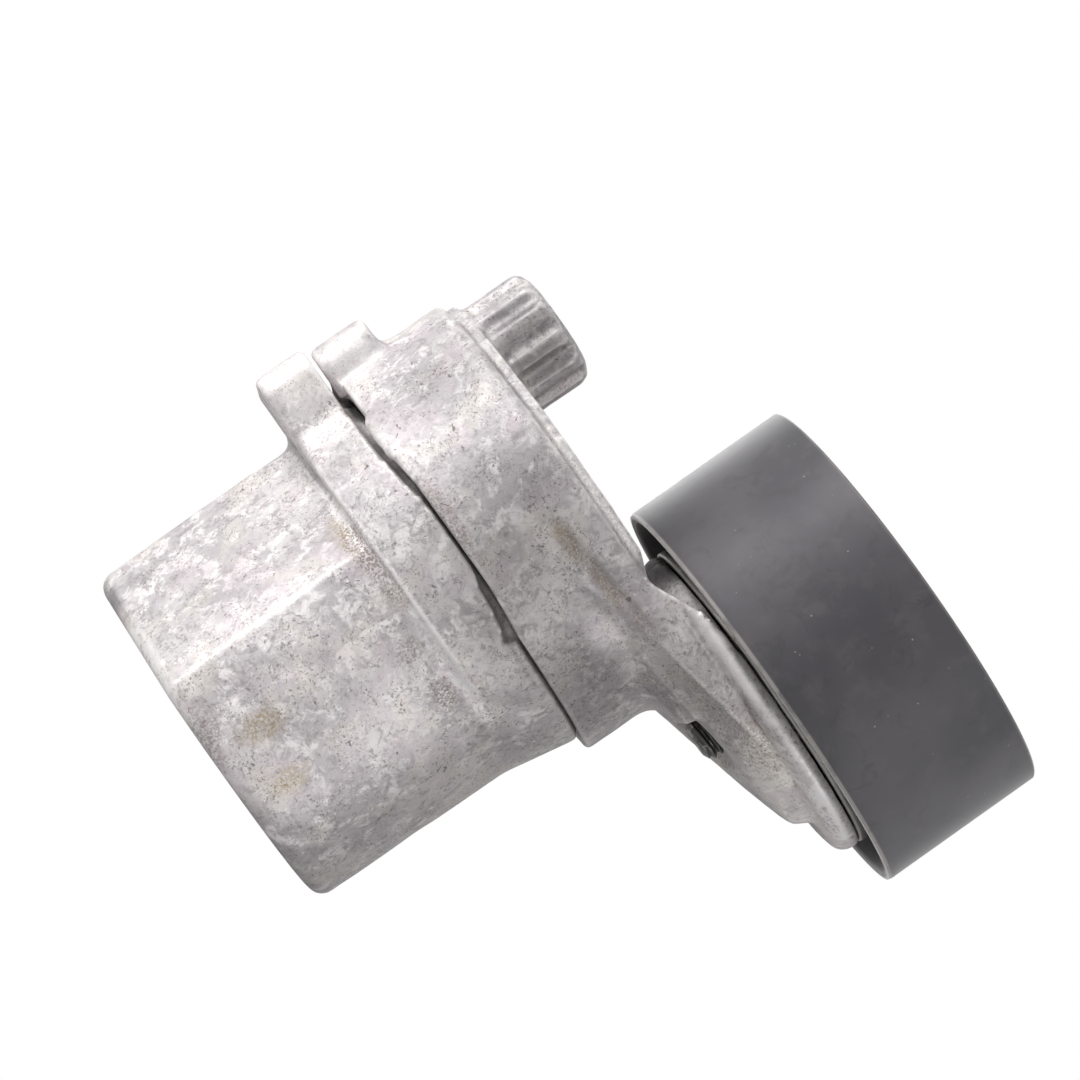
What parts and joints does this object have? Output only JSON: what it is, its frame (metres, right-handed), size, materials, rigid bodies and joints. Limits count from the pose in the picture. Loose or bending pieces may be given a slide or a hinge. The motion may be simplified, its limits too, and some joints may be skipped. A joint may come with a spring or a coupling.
{
  "type": "belt tensioner idler",
  "caption": "Rotary belt tensioner: a sprung cast arm turns on a cast base housing and presses a smooth steel idler pulley on the belt.",
  "frame": {"origin": "on the pivot axis, in the plane of the rear mounting face", "axes": "+Z along the pivot axis from the mounting face to the front, +X from the pivot axis to the pulley axis at free arm, +Y by the right-hand rule"},
  "size_m": [0.1202, 0.0704, 0.1025],
  "materials": {
    "cast_aluminium": "matte die-cast skin, oxidised, with rubbed edges",
    "pulley_steel": "satin dark grey coating on pressed steel",
    "plated_steel": "dull zinc plate",
    "dark_steel": "oiled black oxide",
    "spring_steel": "black coated wire",
    "bearing_steel": "ground and polished",
    "bushing_polymer": "self-lubricating polymer",
    "damper_polymer": "friction lining polymer",
    "cage_polymer": "moulded polyamide",
    "seal_rubber": "moulded nitrile rubber"
  },
  "bodies": {
    "base": {"base_housing": "cast_aluminium", "pivot_shaft": "dark_steel", "front_plate": "plated_steel", "torsion_spring": "spring_steel"},
    "arm": {"tension_arm": "cast_aluminium", "rear_bushing": "bushing_polymer", "front_bushing": "bushing_polymer", "thrust_washer": "plated_steel", "spring_sleeve": "bushing_polymer", "damper_lining": "damper_polymer", "damper_band": "plated_steel", "rear_shield": "plated_steel", "bearing_inner_race": "bearing_steel", "bearing_spacer": "plated_steel", "front_shield": "plated_steel", "pulley_bolt": "dark_steel"},
    "pulley": {"pulley_shell": "pulley_steel", "bearing_outer_race": "bearing_steel", "bearing_seal_rear": "seal_rubber", "bearing_seal_front": "seal_rubber", "retaining_ring": "dark_steel"},
    "ball_train": {"bearing_balls": "bearing_steel", "bearing_cage": "cage_polymer"}
  },
  "joints": [
    {"name": "arm_pivot", "type": "hinge", "parent": "base", "child": "arm", "pos_m": [0, 0, 0], "axis": [0, 0, 1], "range_deg": [0, 55], "stiffness_Nm_per_rad": 16, "springref_deg": -28.65, "deforming": ["torsion_spring"]},
    {"name": "pulley_spin", "type": "hinge", "parent": "arm", "child": "pulley", "pos_m": [0.0441, 0, 0.0888], "axis": [0, 0, 1], "continuous": true},
    {"name": "ball_train_spin", "type": "hinge", "parent": "arm", "child": "ball_train", "pos_m": [0.0441, 0, 0.0888], "axis": [0, 0, 1], "continuous": true}
  ],
  "couplings": [
    {"joint": "ball_train_spin", "follows": "pulley_spin", "ratio": 0.6184}
  ]
}
